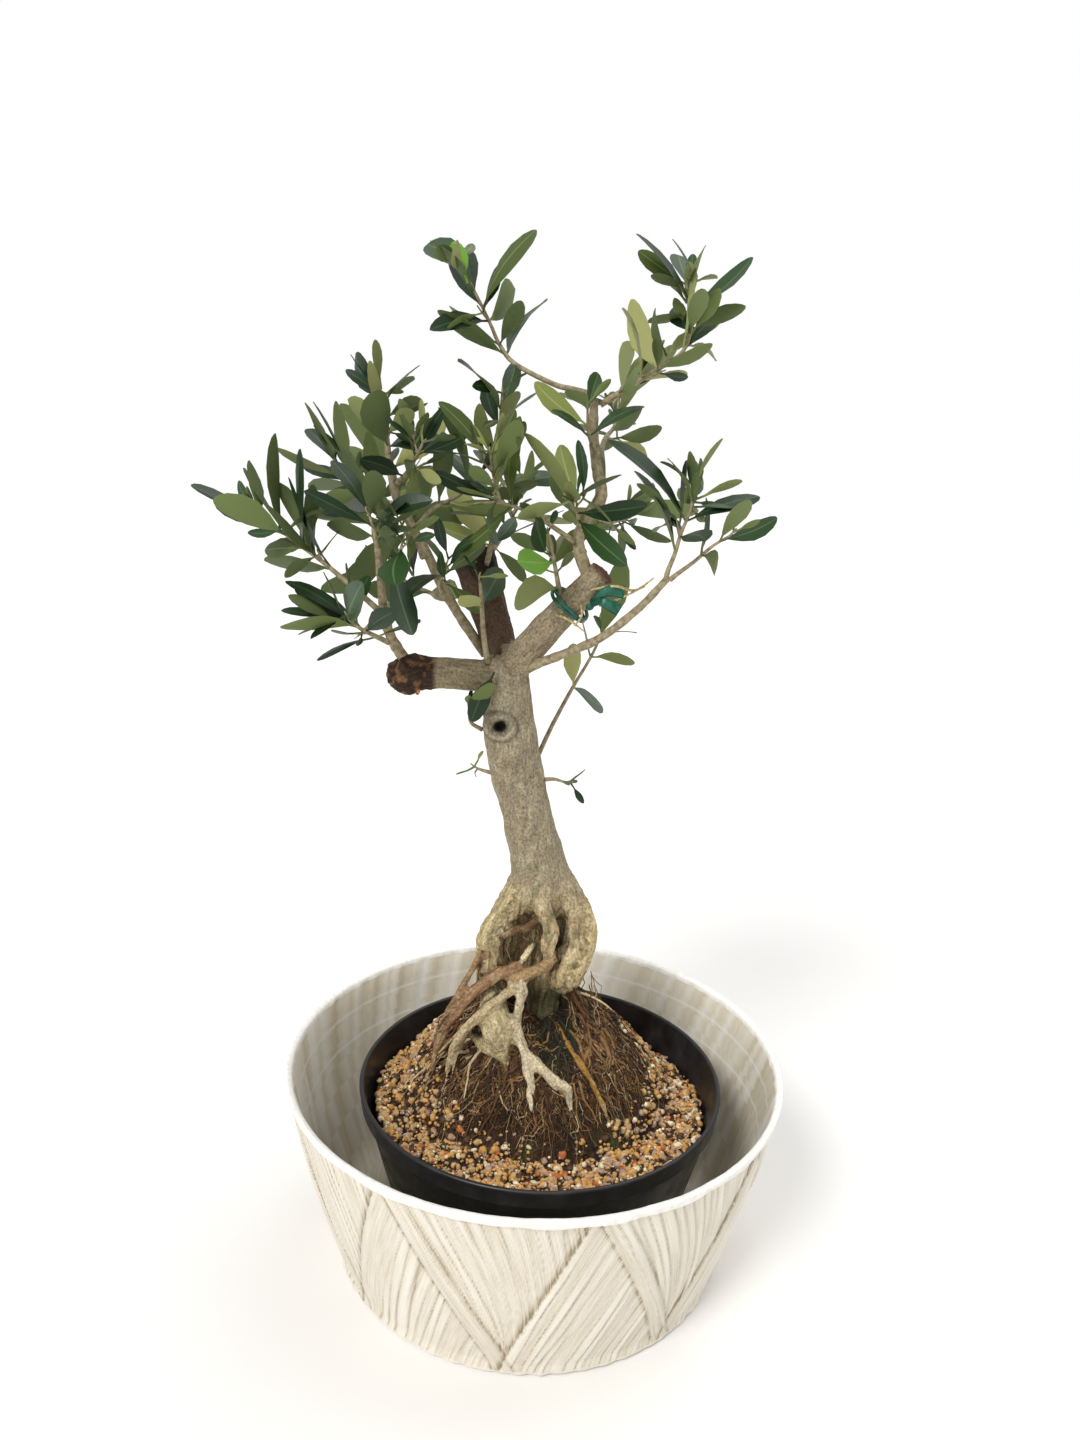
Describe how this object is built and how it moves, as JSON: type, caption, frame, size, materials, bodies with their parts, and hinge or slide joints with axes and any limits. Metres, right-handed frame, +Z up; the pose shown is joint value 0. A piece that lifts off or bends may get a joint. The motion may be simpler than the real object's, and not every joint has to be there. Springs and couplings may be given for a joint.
{
  "type": "potted olive tree",
  "caption": "Small potted olive tree with a flared root crown, a leaning trunk, cut boughs and open sprays of leaves, in a black nursery pot inside a wide pleated cover pot.",
  "frame": {"origin": "centre of the cover pot's flat underside", "axes": "+Z up, along the tree's height; -Y is the front that the picture shows, +X is to the right in it"},
  "size_m": [0.2833, 0.25, 0.492],
  "materials": {
    "cover_wrap": "pleated ribbon wrap, soft sheen",
    "black_plastic": "moulded, satin",
    "gritty_soil": "loose grit and soil",
    "tie_tape": "woven, matt",
    "root_bark": "bare roots, dry",
    "trunk_bark": "bark, matt",
    "olive_leaf": "leathery, slight sheen"
  },
  "bodies": {
    "root": {"bough_back": "trunk_bark", "bough_left": "trunk_bark", "bough_right": "trunk_bark", "branch_lead": "trunk_bark", "branch_right": "trunk_bark", "branch_riser": "trunk_bark", "branch_upper": "trunk_bark", "cover_pot": "cover_wrap", "leaves_back_left": "olive_leaf", "leaves_back_middle": "olive_leaf", "leaves_back_right": "olive_leaf", "leaves_back_top": "olive_leaf", "leaves_elbow": "olive_leaf", "leaves_fork": "olive_leaf", "leaves_front": "olive_leaf", "leaves_inner": "olive_leaf", "leaves_lead_low": "olive_leaf", "leaves_left_back": "olive_leaf", "leaves_left_centre": "olive_leaf", "leaves_left_high": "olive_leaf", "leaves_left_inner": "olive_leaf", "leaves_left_long": "olive_leaf", "leaves_left_low": "olive_leaf", "leaves_left_rear": "olive_leaf", "leaves_left_top": "olive_leaf", "leaves_left_under": "olive_leaf", "leaves_middle": "olive_leaf", "leaves_right_back": "olive_leaf", "leaves_right_out": "olive_leaf", "leaves_right_up": "olive_leaf", "leaves_riser": "olive_leaf", "leaves_spur": "olive_leaf", "leaves_top_left": "olive_leaf", "leaves_top_right": "olive_leaf", "nursery_pot": "black_plastic", "root_back": "root_bark", "root_cross": "root_bark", "root_diagonal": "root_bark", "root_forked": "root_bark", "root_knob": "root_bark", "root_left": "root_bark", "root_right": "root_bark", "soil": "gritty_soil", "sprig_trunk_left": "olive_leaf", "sprig_trunk_low": "olive_leaf", "sprig_trunk_right": "olive_leaf", "tie": "tie_tape", "trunk": "trunk_bark"}
  },
  "joints": []
}
